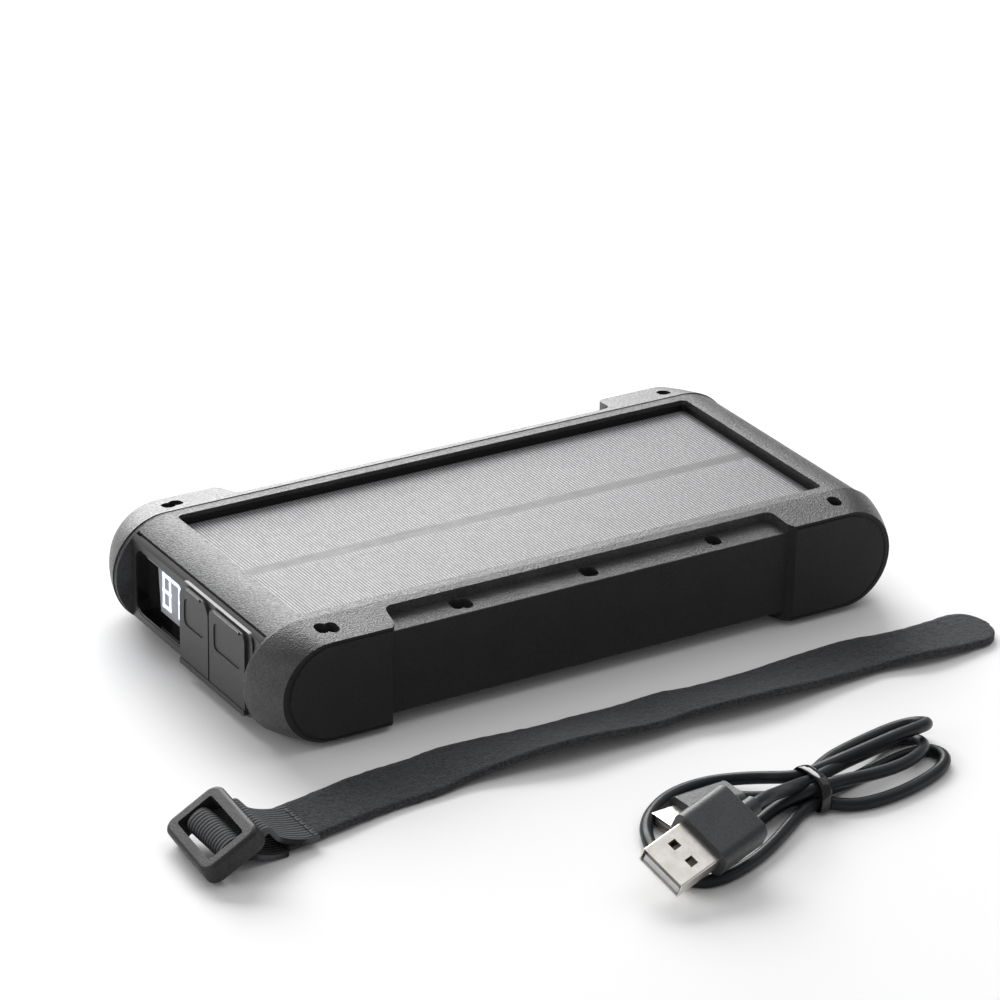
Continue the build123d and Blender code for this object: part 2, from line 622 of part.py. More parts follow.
for name, make in {
    "near_side_rail": near_rail,
    "far_side_rail": lambda: mirror(near_rail(), Plane.XZ),
    "rail_screws": rail_screws,
    "upper_shell": upper_shell,
    "lower_shell": lower_shell,
    "shell_screws": shell_screws,
    "solar_board": solar_board,
    "solar_cells": solar_cells,
    "solar_cover": solar_cover,
    "solar_gasket": solar_gasket,
    "port_panel": port_panel,
    "display_bezel": display_bezel,
    "display_window": display_window,
    "display_module": display_module,
    "usb_c_cover": lambda: port_cover("usb_c_cover"),
    "output_cover": lambda: port_cover("output_cover"),
    "cover_strip": cover_strip,
    "usb_c_port": usb_c_port,
    "usb_a_port": usb_a_port,
    "main_board": main_board,
    "controller_chips": controller_chips,
    "power_inductor": power_inductor,
    "filter_capacitors": filter_capacitors,
    "battery_cells": battery_cells,
    "cell_foam": cell_foam,
    "cell_tabs": cell_tabs,
    "power_button": power_button,
    "switch_board": switch_board,
    "power_switch": power_switch,
    "strap_buckle": strap_buckle,
    "webbing_loop": webbing_loop,
    "hook_and_loop_band": hook_and_loop_band,
    "strap_stitches": strap_stitches,
    "usb_a_shell": usb_a_shell,
    "usb_a_tongue": usb_a_tongue,
    "usb_a_contacts": usb_a_contacts,
    "usb_a_overmold": usb_a_overmold,
    "usb_c_shell": usb_c_shell,
    "usb_c_insert": usb_c_insert,
    "usb_c_overmold": usb_c_overmold,
    "usb_a_lead": usb_a_lead,
    "usb_c_lead": usb_c_lead,
    "cable_bundle": cable_bundle,
    "cable_tie": cable_tie,
}.items():
    save(name, make())
    print(name, flush=True)
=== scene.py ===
import json
from math import cos, pi, radians, sin

import bpy
from mathutils import Matrix, Vector, noise


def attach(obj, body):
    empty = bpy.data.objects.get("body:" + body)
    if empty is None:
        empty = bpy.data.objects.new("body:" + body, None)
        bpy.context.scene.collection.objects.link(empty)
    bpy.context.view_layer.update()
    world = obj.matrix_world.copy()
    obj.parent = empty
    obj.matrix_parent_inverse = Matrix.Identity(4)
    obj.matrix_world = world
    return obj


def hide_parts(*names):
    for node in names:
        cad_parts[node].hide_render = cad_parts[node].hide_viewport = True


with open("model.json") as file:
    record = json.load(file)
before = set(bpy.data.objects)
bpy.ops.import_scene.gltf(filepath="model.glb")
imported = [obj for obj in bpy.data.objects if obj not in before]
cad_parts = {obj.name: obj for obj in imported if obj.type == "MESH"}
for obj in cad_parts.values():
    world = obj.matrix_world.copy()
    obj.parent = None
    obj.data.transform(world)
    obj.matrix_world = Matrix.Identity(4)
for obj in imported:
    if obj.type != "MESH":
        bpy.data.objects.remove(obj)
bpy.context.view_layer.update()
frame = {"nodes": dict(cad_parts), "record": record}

MM = 0.001
NODES = frame["nodes"]

# ------------------------------------------------------------------------------ camera
# The camera looks down on the port end's near corner through a long lens.
CAMERA_HEADING = 31.68      # degrees from +Y towards +X
CAMERA_DOWN = 24.75
CAMERA_ROLL = 1.17
CAMERA_DISTANCE = 1.09153
CAMERA_AIM = Vector((0.02066, 0.03475, 0.010))
CAMERA_LENS = 155.93        # mm, on a 36 mm sensor


def make_camera():
    heading, down, roll = radians(CAMERA_HEADING), radians(CAMERA_DOWN), radians(CAMERA_ROLL)
    ahead = Vector((sin(heading) * cos(down), cos(heading) * cos(down), -sin(down)))
    level = ahead.cross(Vector((0, 0, 1))).normalized()
    above = level.cross(ahead)
    right = cos(roll) * level + sin(roll) * above
    up = cos(roll) * above - sin(roll) * level
    data = bpy.data.cameras.new("camera")
    data.lens = CAMERA_LENS
    data.sensor_width = 36
    data.clip_start = 0.01
    camera = bpy.data.objects.new("camera", data)
    turn = Matrix((right, up, -ahead)).transposed()
    camera.matrix_world = Matrix.Translation(CAMERA_AIM - ahead * CAMERA_DISTANCE) @ turn.to_4x4()
    bpy.context.scene.collection.objects.link(camera)
    bpy.context.scene.camera = camera


make_camera()


# ------------------------------------------------------------------------------ material helpers
class Paint:
    """A node material that is built up one layer at a time, in the row frame's own metres."""

    def __init__(self, name, colour, roughness, metallic=0.0, specular=0.5):
        self.material = bpy.data.materials.new(name)
        self.material.use_nodes = True
        self.tree = self.material.node_tree
        self.shader = self.tree.nodes["Principled BSDF"]
        self.shader.inputs["Base Color"].default_value = (*colour, 1)
        self.shader.inputs["Roughness"].default_value = roughness
        self.shader.inputs["Metallic"].default_value = metallic
        self.shader.inputs["Specular IOR Level"].default_value = specular
        self.coords = self.tree.nodes.new("ShaderNodeTexCoord").outputs["Object"]
        self.height = None

    def node(self, kind, **settings):
        made = self.tree.nodes.new(kind)
        for key, value in settings.items():
            setattr(made, key, value)
        return made

    def link(self, source, target):
        self.tree.links.new(source, target)

    def noise(self, size_mm, detail=2.0, rough=0.5, stretch=(1, 1, 1)):
        """Noise whose features are about size_mm across."""
        source = self.coords
        if stretch != (1, 1, 1):
            mapping = self.node("ShaderNodeMapping")
            mapping.inputs["Scale"].default_value = stretch
            self.link(source, mapping.inputs["Vector"])
            source = mapping.outputs["Vector"]
        made = self.node("ShaderNodeTexNoise")
        made.inputs["Scale"].default_value = 1 / (size_mm * MM)
        made.inputs["Detail"].default_value = detail
        made.inputs["Roughness"].default_value = rough
        self.link(source, made.inputs["Vector"])
        return made.outputs["Fac"]

    def spread(self, value, low, high, to_low, to_high):
        made = self.node("ShaderNodeMapRange")
        for key, number in zip(("From Min", "From Max", "To Min", "To Max"), (low, high, to_low, to_high)):
            made.inputs[key].default_value = number
        self.link(value, made.inputs["Value"])
        return made.outputs["Result"]

    def sums(self, operation, first, second=None):
        made = self.node("ShaderNodeMath", operation=operation)
        for index, value in enumerate((first, second)):
            if value is None:
                continue
            if isinstance(value, (int, float)):
                made.inputs[index].default_value = value
            else:
                self.link(value, made.inputs[index])
        return made.outputs[0]

    def axis(self, name):
        """One coordinate in the row frame, in metres."""
        split = self.node("ShaderNodeSeparateXYZ")
        self.link(self.coords, split.inputs[0])
        return split.outputs[name]

    def roughness(self, value, low, high):
        self.link(self.spread(value, 0.3, 0.7, low, high), self.shader.inputs["Roughness"])

    def tint(self, value, dark, light, low=0.3, high=0.7):
        """The base colour runs from dark to light with the value."""
        mix = self.node("ShaderNodeMix", data_type="RGBA")
        mix.inputs["A"].default_value = (*dark, 1)
        mix.inputs["B"].default_value = (*light, 1)
        self.link(self.spread(value, low, high, 0, 1), mix.inputs["Factor"])
        self.link(mix.outputs["Result"], self.shader.inputs["Base Color"])
        return mix.outputs["Result"]

    def cover(self, mask, colour):
        """Lays a colour over the base colour where the mask is 1."""
        mix = self.node("ShaderNodeMix", data_type="RGBA")
        base = self.shader.inputs["Base Color"]
        if base.links:
            self.link(base.links[0].from_socket, mix.inputs["A"])
        else:
            mix.inputs["A"].default_value = base.default_value
        mix.inputs["B"].default_value = (*colour, 1)
        self.link(mask, mix.inputs["Factor"])
        self.link(mix.outputs["Result"], base)

    def bump(self, value, depth_mm, strength=1.0):
        made = self.node("ShaderNodeBump")
        made.inputs["Strength"].default_value = strength
        made.inputs["Distance"].default_value = depth_mm * MM
        self.link(value, made.inputs["Height"])
        if self.height is not None:
            self.link(self.height, made.inputs["Normal"])
        self.height = made.outputs["Normal"]
        self.link(self.height, self.shader.inputs["Normal"])


def grey(value, blue=0.0):
    return (value, value * (1 + blue * 0.4), value * (1 + blue))


# ------------------------------------------------------------------------------ plastics of the charger
def spark_plastic(name, dark, light, low, high, grain_mm, depth_mm, specular=0.5):
    """Moulded plastic with a spark-eroded grain."""
    paint = Paint(name, dark, low, specular=specular)
    grain = paint.noise(grain_mm, 2, 0.6)
    paint.tint(paint.sums("ADD", paint.sums("MULTIPLY", paint.noise(9, 3), 0.4),
                          paint.sums("MULTIPLY", grain, 0.6)), dark, light, 0.38, 0.62)
    paint.roughness(grain, high, low)
    paint.bump(grain, depth_mm)
    return paint


def rail_plastic():
    """Grained plastic for the rails; their flat outer face takes the dead-matte rail face paint instead."""
    paint = spark_plastic("rail_plastic", grey(0.018), grey(0.055), 0.26, 0.50, 0.46, 0.16)
    return paint.material


def rail_face_plastic():
    paint = spark_plastic("rail_face_plastic", grey(0.018), grey(0.023), 0.55, 0.68, 0.5, 0.008, 0.22)
    return paint.material


def shell_plastic():
    paint = spark_plastic("shell_plastic", grey(0.022, 0.03), grey(0.060, 0.03), 0.34, 0.56, 0.50, 0.16)
    return paint.material


def panel_plastic():
    paint = spark_plastic("panel_plastic", grey(0.022), grey(0.030), 0.30, 0.40, 0.30, 0.005)
    return paint.material


def cover_rubber():
    paint = spark_plastic("cover_rubber", grey(0.028), grey(0.036), 0.40, 0.52, 0.25, 0.006)
    return paint.material


def gasket_rubber():
    paint = spark_plastic("gasket_rubber", grey(0.006), grey(0.009), 0.30, 0.42, 0.4, 0.004, 0.35)
    return paint.material


def gloss_black():
    paint = Paint("gloss_black", grey(0.006), 0.08)
    paint.roughness(paint.noise(5, 3), 0.05, 0.12)
    paint.bump(paint.noise(2.5, 2), 0.002)
    return paint.material


LINE_PITCH_MM = 0.80
WINDOW_X, WINDOW_Y = 72.8, 30.55    # half length and half width of the panel's opening
MARGIN = 2.0                        # plain strip at each end of the panel


def solar_laminate():
    """Clear laminate over silicon strips: fine pale lines run across the panel and a darker gap runs
    along it."""
    paint = Paint("solar_laminate", (0.085, 0.086, 0.090), 0.42, specular=0.25)
    paint.tint(paint.noise(0.45, 3), (0.055, 0.056, 0.059), (0.120, 0.121, 0.125))
    waves = paint.node("ShaderNodeTexWave", wave_type="BANDS", bands_direction="X", wave_profile="SIN")
    waves.inputs["Scale"].default_value = 2 * pi / (20 * LINE_PITCH_MM * MM)
    waves.inputs["Distortion"].default_value = 0.9
    waves.inputs["Detail"].default_value = 1.0
    waves.inputs["Detail Scale"].default_value = 0.35
    paint.link(paint.coords, waves.inputs["Vector"])
    inside_x = paint.sums("LESS_THAN", paint.sums("ABSOLUTE", paint.axis("X")), (WINDOW_X - MARGIN) * MM)
    across = paint.sums("ABSOLUTE", paint.sums("ADD", paint.axis("Y"), 0.0004))
    inside_y = paint.sums("LESS_THAN", across, (WINDOW_Y - 0.4) * MM)
    gap = paint.spread(across, 0.0012, 0.0024, 0.0, 1.0)
    beads = paint.spread(paint.noise(0.8, 1), 0.3, 0.7, 0.5, 1.0)
    lines = paint.spread(waves.outputs["Fac"], 0.60, 0.95, 0.0, 0.95)
    shown = paint.sums("MULTIPLY", paint.sums("MULTIPLY", inside_x, inside_y), gap)
    paint.cover(paint.sums("MULTIPLY", paint.sums("MULTIPLY", lines, shown), beads), (0.52, 0.51, 0.53))
    paint.cover(paint.sums("MULTIPLY", paint.sums("SUBTRACT", 1.0, gap), 0.25), (0.10, 0.105, 0.105))
    paint.roughness(paint.noise(2.0, 3), 0.38, 0.48)
    paint.bump(waves.outputs["Fac"], 0.006)
    return paint.material


# ------------------------------------------------------------------------------ metals and inner pieces
def metal(name, dark, light, low, high, grain_mm=0.3, depth_mm=0.004, stretch=(1, 1, 1)):
    paint = Paint(name, dark, low, metallic=1.0)
    paint.tint(paint.noise(2.5, 3), dark, light)
    paint.roughness(paint.noise(0.8, 3, stretch=stretch), low, high)
    paint.bump(paint.noise(grain_mm, 2, stretch=stretch), depth_mm)
    return paint.material


def plain(name, dark, light, low, high, grain_mm=0.4, depth_mm=0.01):
    paint = Paint(name, dark, low)
    paint.tint(paint.noise(4, 3), dark, light)
    paint.roughness(paint.noise(1.5, 3), low, high)
    paint.bump(paint.noise(grain_mm, 2), depth_mm)
    return paint.material


def glow(name, colour, strength):
    paint = Paint(name, colour, 0.4)
    paint.shader.inputs["Emission Color"].default_value = (*colour, 1)
    paint.shader.inputs["Emission Strength"].default_value = strength
    return paint.material


# ------------------------------------------------------------------------------ soft materials
def knit_paint(name, dark, light, cell_mm, depth_mm):
    """Fabric with a small irregular pile."""
    paint = Paint(name, dark, 0.85, specular=0.25)
    paint.tint(paint.noise(cell_mm, 4, 0.7), dark, light, 0.35, 0.68)
    paint.roughness(paint.noise(2, 3), 0.8, 0.95)
    paint.bump(paint.noise(cell_mm, 3, 0.65), depth_mm)
    paint.bump(paint.noise(cell_mm * 3.5, 3, 0.6), depth_mm * 1.2)
    paint.shader.inputs["Sheen Weight"].default_value = 0.12
    paint.shader.inputs["Sheen Roughness"].default_value = 0.5
    return paint.material


def webbing_paint():
    """Woven tape: rows of small slanting ribs."""
    paint = Paint("webbing", grey(0.035), 0.8, specular=0.3)
    ribs = paint.node("ShaderNodeTexWave", wave_type="BANDS", bands_direction="Y", wave_profile="SIN")
    ribs.inputs["Scale"].default_value = 2 * pi / (20 * 1.1 * MM)
    ribs.inputs["Distortion"].default_value = 1.0
    ribs.inputs["Detail Scale"].default_value = 2.0
    paint.link(paint.coords, ribs.inputs["Vector"])
    yarns = paint.noise(0.35, 2, stretch=(1, 0.5, 1))
    both = paint.sums("ADD", paint.sums("MULTIPLY", ribs.outputs["Fac"], 0.6),
                      paint.sums("MULTIPLY", yarns, 0.4))
    paint.tint(both, grey(0.012), (0.085, 0.088, 0.095))
    paint.bump(both, 0.25)
    return paint.material


def cable_paint(name="cable_pvc"):
    paint = Paint(name, (0.010, 0.011, 0.013), 0.36, specular=0.24)
    paint.tint(paint.noise(12, 3), (0.008, 0.009, 0.011), (0.014, 0.016, 0.019))
    paint.roughness(paint.noise(4, 3), 0.32, 0.44)
    paint.bump(paint.noise(0.5, 2), 0.006)
    paint.bump(paint.noise(6, 2), 0.05)
    return paint.material


PAINTS = {
    "rail_plastic": rail_plastic(),
    "shell_plastic": shell_plastic(),
    "panel_plastic": panel_plastic(),
    "gloss_black": gloss_black(),
    "cover_rubber": cover_rubber(),
    "black_rubber": gasket_rubber(),
    "clear_laminate": solar_laminate(),
    "solar_silicon": plain("solar_silicon", (0.03, 0.03, 0.06), (0.05, 0.05, 0.09), 0.2, 0.3),
    "board_laminate": plain("board_laminate", (0.01, 0.06, 0.025), (0.015, 0.09, 0.04), 0.35, 0.5),
    "socket_steel": metal("socket_steel", (0.50, 0.49, 0.47), (0.66, 0.65, 0.63), 0.25, 0.38),
    "screw_steel": metal("screw_steel", (0.03, 0.03, 0.03), (0.06, 0.06, 0.06), 0.35, 0.5),
    "chip_black": plain("chip_black", grey(0.012), grey(0.02), 0.5, 0.65),
    "ferrite": plain("ferrite", grey(0.04), grey(0.07), 0.6, 0.75),
    "capacitor_can": metal("capacitor_can", (0.45, 0.45, 0.47), (0.6, 0.6, 0.62), 0.25, 0.35),
    "cell_foil": metal("cell_foil", (0.5, 0.5, 0.52), (0.62, 0.62, 0.65), 0.3, 0.42),
    "foam": plain("foam", grey(0.03), grey(0.06), 0.85, 0.95, 0.5, 0.1),
    "nickel": metal("nickel", (0.55, 0.53, 0.48), (0.66, 0.63, 0.58), 0.25, 0.35),
    "smoked_window": gloss_black(),
    "display_face": plain("display_face", (0.10, 0.10, 0.11), (0.13, 0.13, 0.14), 0.5, 0.6),
    "buckle_plastic": spark_plastic("buckle_plastic", grey(0.012, 0.04), grey(0.030, 0.04),
                                    0.36, 0.54, 0.42, 0.060, 0.3).material,
    "webbing": webbing_paint(),
    "band_fabric": knit_paint("band_fabric", grey(0.007, 0.1), (0.062, 0.065, 0.072), 0.50, 0.45),
    "thread": plain("thread", grey(0.05), grey(0.12), 0.7, 0.85),
    "plug_nickel": metal("plug_nickel", (0.62, 0.60, 0.56), (0.74, 0.715, 0.675), 0.28, 0.42, 0.25, 0.004),
    "tongue_plastic": plain("tongue_plastic", grey(0.55), grey(0.65), 0.35, 0.45),
    "contact_gold": metal("contact_gold", (0.70, 0.52, 0.22), (0.85, 0.66, 0.32), 0.15, 0.25),
    "overmold_plastic": spark_plastic("overmold_plastic", (0.020, 0.021, 0.023), (0.036, 0.038, 0.042),
                                      0.34, 0.50, 0.45, 0.050).material,
    "cable_pvc": cable_paint(),
    "tie_plastic": gloss_black(),
}
RAIL_FACE = rail_face_plastic()


def dress_cad_nodes():
    """Each CAD node takes the paint of its slot, is smooth-shaded and has edges sharper than 28 degrees
    marked sharp; the rails' outer faces take the rail face paint.
    """
    slots = {part["node"]: part["material_slot"] for part in frame["record"]["subparts"]}
    for name, obj in NODES.items():
        obj.data.materials.clear()
        obj.data.materials.append(PAINTS[slots[name]])
        for face in obj.data.polygons:
            face.material_index = 0
            face.use_smooth = True
        obj.data.set_sharp_from_angle(angle=radians(28))
    for name in ("near_side_rail", "far_side_rail"):
        mesh = NODES[name].data
        mesh.materials.append(RAIL_FACE)
        for face in mesh.polygons:
            outer = abs(face.normal.y) > 0.55 and abs(face.center.y) > 42 * MM
            face.material_index = 1 if outer else 0


def soften(names, width_mm, segments=3, angle=35):
    for name in names:
        obj = NODES[name]
        bevel = obj.modifiers.new("edge_round", "BEVEL")
        bevel.width = width_mm * MM
        bevel.segments = segments
        bevel.limit_method = "ANGLE"
        bevel.angle_limit = radians(angle)
        bevel.use_clamp_overlap = True
        bevel.harden_normals = True


dress_cad_nodes()
soften(["near_side_rail", "far_side_rail", "upper_shell", "strap_buckle"], 0.45)


# ------------------------------------------------------------------------------ mesh helpers
def mesh_object(name, vertices, faces, paint, body, smooth=True):
    mesh = bpy.data.meshes.new(name)
    mesh.from_pydata([tuple(v) for v in vertices], [], faces)
    mesh.validate()
    mesh.update()
    obj = bpy.data.objects.new(name, mesh)
    bpy.context.scene.collection.objects.link(obj)
    obj.data.materials.append(PAINTS[paint] if isinstance(paint, str) else paint)
    for face in mesh.polygons:
        face.use_smooth = smooth
    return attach(obj, body)


def box_object(name, low, high, paint, body):
    (x0, y0, z0), (x1, y1, z1) = low, high
    vertices = [(x * MM, y * MM, z * MM) for x in (x0, x1) for y in (y0, y1) for z in (z0, z1)]
    faces = [(0, 1, 3, 2), (4, 6, 7, 5), (0, 4, 5, 1), (2, 3, 7, 6), (0, 2, 6, 4), (1, 5, 7, 3)]
    return mesh_object(name, vertices, faces, paint, body, smooth=False)


def closed_ribbon(name, rows, thickness, paint, body):
    """A closed sheet from rows of points; each row runs across it."""
    across = len(rows[0])
    count = len(rows)

    def normal(i, j):
        a = rows[min(i + 1, count - 1)][j] - rows[max(i - 1, 0)][j]
        b = rows[i][min(j + 1, across - 1)] - rows[i][max(j - 1, 0)]
        return a.cross(b).normalized()

    top = [rows[i][j] + normal(i, j) * thickness / 2 for i in range(count) for j in range(across)]
    low = [rows[i][j] - normal(i, j) * thickness / 2 for i in range(count) for j in range(across)]
    shift = count * across
    faces = []
    for i in range(count - 1):
        for j in range(across - 1):
            a, b = i * across + j, (i + 1) * across + j
            faces.append((a, b, b + 1, a + 1))
            faces.append((shift + a, shift + a + 1, shift + b + 1, shift + b))
    rim = [j for j in range(across)]
    rim += [i * across + across - 1 for i in range(1, count)]
    rim += [(count - 1) * across + j for j in range(across - 2, -1, -1)]
    rim += [i * across for i in range(count - 2, 0, -1)]
    for a, b in zip(rim, rim[1:] + rim[:1]):
        faces.append((a, b, shift + b, shift + a))
    return mesh_object(name, top + low, faces, paint, body)


def smooth_path(points, per_span=8):
    """Catmull-Rom through the points."""
    out = []
    last = len(points) - 1
    for i in range(last):
        p0, p1 = points[max(i - 1, 0)], points[i]
        p2, p3 = points[i + 1], points[min(i + 2, last)]
        for k in range(per_span):
            t = k / per_span
            out.append(0.5 * (2 * p1 + (p2 - p0) * t + (2 * p0 - 5 * p1 + 4 * p2 - p3) * t ** 2
                              + (3 * p1 - p0 - 3 * p2 + p3) * t ** 3))
    out.append(points[-1])
    return out


# ------------------------------------------------------------------------------ lit display
DISPLAY_X = -81.0
DIGIT_W, DIGIT_H = 3.3, 8.2
DIGIT_FOOT = 10.6        # height of the digits' lowest segment
STROKE = 0.45            # half width of a segment


def display_digits():
    """Two seven-segment digits glowing on a pale reflector behind the window."""
    plate = [(11.6, 8.3), (22.8, 8.3), (24.2, 20.9), (12.8, 20.9), (11.6, 19.4)]
    vertices = [(x * MM, y * MM, z * MM) for x in (DISPLAY_X - 0.12, DISPLAY_X - 0.02) for y, z in plate]
    count = len(plate)
    faces = [tuple(range(count)), tuple(range(2 * count - 1, count - 1, -1))]
    faces += [(i, count + i, count + (i + 1) % count, (i + 1) % count) for i in range(count)]
    reflector = plain("reflector", (0.30, 0.30, 0.32), (0.38, 0.38, 0.40), 0.35, 0.5)
    mesh_object("display_reflector", vertices, faces, reflector, "charger", smooth=False)
    light = glow("digit_glow", (0.62, 0.70, 1.0), 1.3)
    spans = {"a": (0, 1, 1, 1), "b": (1, 0.5, 1, 1), "c": (1, 0, 1, 0.5), "d": (0, 0, 1, 0),
             "e": (0, 0, 0, 0.5), "f": (0, 0.5, 0, 1), "g": (0, 0.5, 1, 0.5)}
    for index, (left, segments) in enumerate(((21.2, "abcdefg"), (16.4, "abc"))):
        for name in segments:
            y0, z0, y1, z1 = spans[name]
            low_y, high_y = left - DIGIT_W * max(y0, y1), left - DIGIT_W * min(y0, y1)
            low_z, high_z = DIGIT_FOOT + DIGIT_H * min(z0, z1), DIGIT_FOOT + DIGIT_H * max(z0, z1)
            low = (DISPLAY_X - 0.24, low_y - STROKE, low_z - STROKE)
            high = (DISPLAY_X - 0.13, high_y + STROKE, high_z + STROKE)
            box_object(f"digit_{index}_{name}", low, high, light, "charger")


display_digits()


# ------------------------------------------------------------------------------ strap
# Stations along the band: x, the middle's y and height, and how far the near edge lifts.
BAND_STATIONS = [(-103.8, -74.2, 1.2, 0.0), (-96, -73.2, 1.4, 0.2), (-88, -71.8, 1.5, 0.3),
                 (-79, -70.0, 1.4, 0.0), (-71, -69.0, 1.3, -0.2), (-62, -68.4, 1.3, 0.0),
                 (-52, -67.2, 1.8, 0.8), (-38, -68.2, 2.9, 3.0),
                 (-28, -69.2, 3.4, 4.0), (-17, -69.2, 3.1, 3.4), (-6, -69.4, 2.6, 2.6), (6, -68.6, 2.6, 2.6),
                 (15, -69.8, 3.0, 3.4), (29, -69.8, 2.8, 3.0), (39, -68.8, 2.2, 1.9), (50, -67.8, 1.7, 1.0),
                 (61, -67.2, 1.5, 0.8), (72, -69.0, 2.1, 1.7), (82, -69.0, 1.7, 0.9), (90, -68.2, 1.3, 0.3),
                 (97.0, -67.7, 1.0, 0.0)]
BAND_HALF = 8.0
BAND_T = 1.5


def strap_band():
    """The napped band, with gentle waves along it and a round tip."""
    points = [Vector((x, y, z)) for x, y, z, lift in BAND_STATIONS]
    lifts = [Vector((lift, 0, 0)) for x, y, z, lift in BAND_STATIONS]
    path, turn = smooth_path(points, 14), smooth_path(lifts, 14)
    rows = []
    end = path[-1].x
    across = 14
    for centre, lift in zip(path, turn):
        near_tip = max(0.0, 1 - (end - centre.x) / 7.0)
        half = BAND_HALF * (1 - near_tip ** 2.2) ** 0.5 if near_tip < 1 else 0.6
        half = max(half, 0.6)
        row = []
        for j in range(across + 1):
            side = j / across * 2 - 1
            wander = 0.22 * noise.noise(Vector((centre.x * 0.45, side * 3, 2)))
            point = Vector((centre.x, centre.y + side * (half + wander), centre.z - side * lift.x / 2))
            point.z += 0.12 * noise.noise(Vector((centre.x * 0.3, side * 2, 9)))
            point.z = max(point.z, BAND_T / 2 + 0.03)
            row.append(point * MM)
        rows.append(row)
    obj = closed_ribbon("strap_band", rows, BAND_T * MM, "band_fabric", "strap")
    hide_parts("hook_and_loop_band")
    return obj


BUCKLE_MID = Vector((-119.1, -77.0, 6.45))
BUCKLE_LEAN = radians(32)


def buckle_point(along, above):
    c, s = cos(BUCKLE_LEAN), sin(BUCKLE_LEAN)
    return (BUCKLE_MID.x + along * c - above * s, BUCKLE_MID.z + along * s + above * c)


def strap_webbing():
    """Woven tape led from the band over the buckle's bar and back under it."""
    route = [(-96.5, 2.25), (-100.0, 2.45), (-104.0, 3.6), (-107.2, 5.3), buckle_point(8.8, -3.6),
             buckle_point(5.6, -3.0), buckle_point(3.4, -1.6), buckle_point(2.4, 0.5),
             buckle_point(1.0, 1.45),
             buckle_point(-1.2, 1.45), buckle_point(-2.5, 0.5), buckle_point(-2.6, -1.3),
             buckle_point(-1.1, -2.7), (-114.0, 2.9), (-109.0, 1.3), (-104.6, 0.75)]
    path = smooth_path([Vector((x, 0, z)) for x, z in route], 8)
    rows = []
    for p in path:
        drift = (p.x + 119) * 0.09
        rows.append([Vector((p.x, -77.0 + drift + side * 8.0, p.z)) * MM
                     for side in [k / 10 - 1 for k in range(21)]])
    obj = closed_ribbon("strap_webbing", rows, 1.1 * MM, "webbing", "strap")
    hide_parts("webbing_loop")
    return obj


band = strap_band()
webbing = strap_webbing()


# ------------------------------------------------------------------------------ cable
CABLE_D = 3.0
# From the USB-A plug's tail through the tie, round the loops each side of it in turn, to the USB-C plug.
CABLE_ROUTE = [
    # from the large plug's tail down to the top of the tie
    (-15.7, -132.1, 12.3), (-11.5, -130.2, 12.0), (-5.6, -126.6, 9.9), (0.7, -122.6, 7.6), (5.9, -119.9, 6.1),
    (9.3, -118.9, 5.4),
    # middle loop on the right: out behind, back in front
    (14.0, -117.0, 5.2), (22.0, -114.0, 4.6), (32.0, -109.6, 2.6), (39.0, -106.6, 1.7), (44.2, -106.6, 1.6),
    (46.0, -110.2, 2.0), (43.6, -115.0, 3.2), (38.4, -119.2, 4.3), (31.8, -122.0, 4.9), (24.0, -122.7, 5.1),
    (16.7, -121.9, 5.2), (9.3, -121.7, 5.2),
    # small loop on the left, under the large plug
    (3.4, -121.0, 4.0), (-3.4, -121.6, 2.4), (-10.5, -124.6, 1.6), (-16.4, -126.6, 1.5), (-21.6, -124.6, 1.5),
    (-22.2, -119.9, 1.5), (-17.6, -117.2, 1.5), (-10.5, -117.6, 1.6), (-3.0, -118.6, 1.8), (3.4, -119.0, 2.0),
    (9.3, -118.8, 2.1),
    # low loop on the right
    (16.0, -118.6, 1.8), (25.0, -116.4, 1.5), (33.0, -113.9, 1.5), (40.5, -112.6, 1.5), (46.2, -113.8, 1.5),
    (47.2, -118.0, 1.5), (44.4, -121.6, 1.5), (38.7, -124.5, 1.5), (29.5, -127.2, 1.5), (19.7, -128.0, 1.5),
    (13.6, -126.4, 1.6), (9.3, -122.8, 2.1),
    # large loop on the left, under the large plug
    (4.0, -123.4, 1.7), (-3.0, -128.0, 1.5), (-11.4, -133.4, 1.5), (-19.1, -137.2, 1.5),
    (-27.6, -140.0, 1.5), (-34.0, -139.4, 1.5), (-37.0, -133.6, 1.5), (-36.2, -126.2, 1.5),
    (-33.9, -118.6, 1.5), (-31.1, -113.0, 1.5), (-27.0, -108.4, 1.5), (-20.9, -104.2, 1.5),
    (-14.2, -102.1, 1.5), (-7.3, -102.5, 1.8), (-2.1, -105.4, 2.6), (2.7, -109.1, 3.4),
    (5.9, -113.0, 4.4), (9.3, -115.7, 5.2),
    # upper loop on the right: out on top, round and back along the floor
    (20.5, -114.4, 5.8), (29.9, -113.3, 6.3), (38.1, -112.2, 6.6), (43.4, -111.4, 6.4), (48.0, -109.8, 5.6),
    (50.0, -106.4, 4.0), (48.8, -102.9, 2.6), (44.6, -101.4, 1.7), (37.5, -102.4, 1.5), (29.3, -104.3, 1.5),
    (22.6, -106.3, 1.5), (15.6, -110.6, 1.7), (9.3, -115.6, 2.1),
    # out of the tie to the small plug
    (3.5, -117.0, 2.1), (-2.5, -115.2, 2.4), (-6.95, -112.95, 2.6)]


